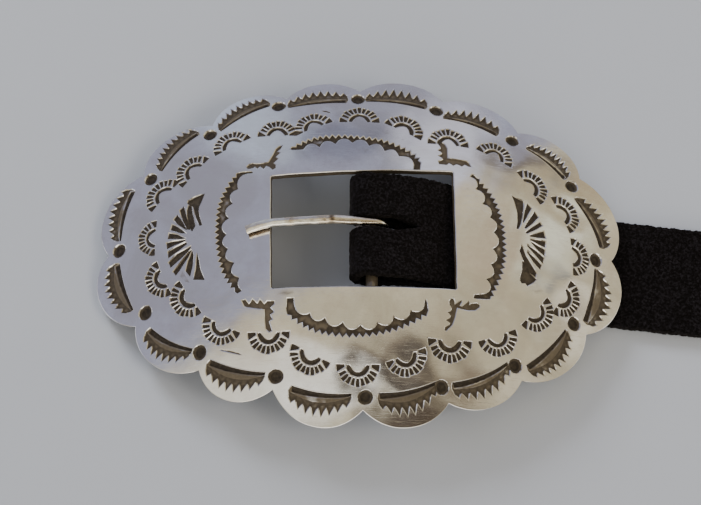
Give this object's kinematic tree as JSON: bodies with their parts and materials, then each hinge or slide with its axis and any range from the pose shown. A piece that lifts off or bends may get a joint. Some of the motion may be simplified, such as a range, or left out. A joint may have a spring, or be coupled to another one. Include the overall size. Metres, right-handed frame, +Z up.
{
  "type": "concho belt",
  "caption": "Domed, scalloped silver belt plate with traditional stamped ornament, open centre with bar and swinging tongue, on the folded end of its black suede belt strap.",
  "frame": {"origin": "middle of the footprint on the table, under the plate and the strap", "axes": "+X along the belt towards the strap's free end, +Y across the belt, +Z up out of the plate's face"},
  "size_m": [0.1358, 0.0786, 0.0191],
  "materials": {
    "plate_silver": "hand-polished silver, darkened in the stamps",
    "tongue_silver": "hammered and polished silver wire",
    "black_suede": "napped suede"
  },
  "bodies": {
    "buckle": {"buckle_plate": "plate_silver", "strap": "black_suede"},
    "tongue": {"tongue": "tongue_silver"}
  },
  "joints": [
    {"name": "tongue_swing", "type": "hinge", "parent": "buckle", "child": "tongue", "pos_m": [-0.0112, 0.00264, 0.01424], "axis": [0, 1, 0], "range_deg": [0, 125]}
  ]
}
